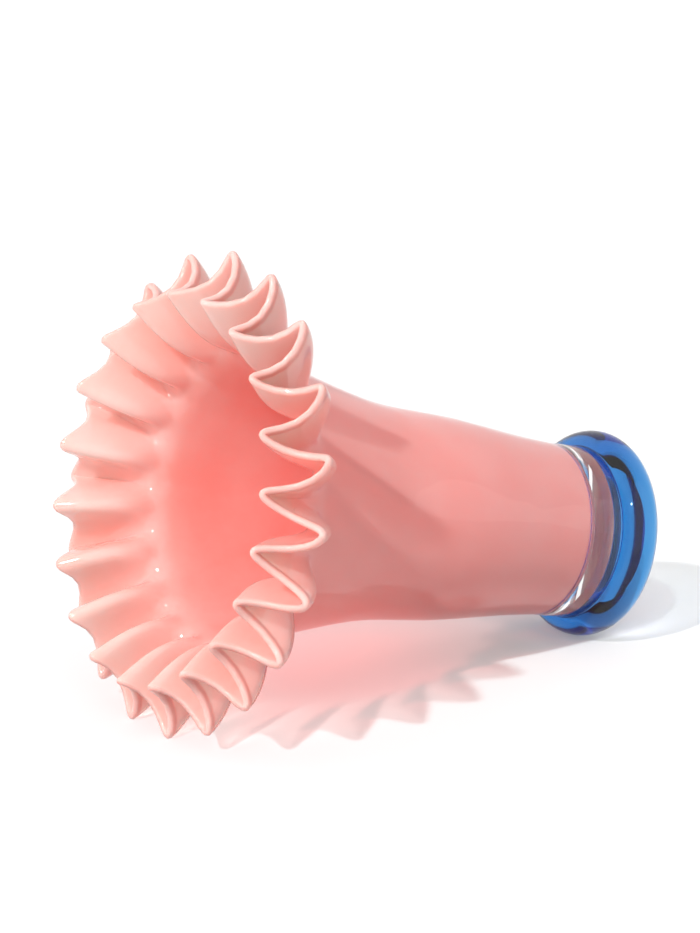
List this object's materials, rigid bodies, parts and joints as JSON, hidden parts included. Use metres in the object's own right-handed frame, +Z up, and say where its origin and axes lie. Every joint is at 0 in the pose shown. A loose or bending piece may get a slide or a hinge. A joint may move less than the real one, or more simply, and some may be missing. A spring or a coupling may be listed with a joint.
{
  "type": "ruffled vase",
  "caption": "Blown cased-glass vase with a round foot, a tapering body and a flared, deeply ruffled mouth.",
  "frame": {"origin": "centre of the foot's underside, in the plane that the vase stands on", "axes": "+Z up along the vase's axis, from the foot to the mouth"},
  "size_m": [0.213, 0.2172, 0.256],
  "materials": {
    "pink_glass": "opaque pink opaline glass, fire-polished gloss",
    "clear_glass": "clear glass, fire-polished gloss",
    "blue_glass": "transparent blue glass, fire-polished gloss"
  },
  "bodies": {
    "root": {"pink_cup": "pink_glass", "clear_casing": "clear_glass", "clear_base": "clear_glass", "blue_foot": "blue_glass"}
  },
  "joints": []
}
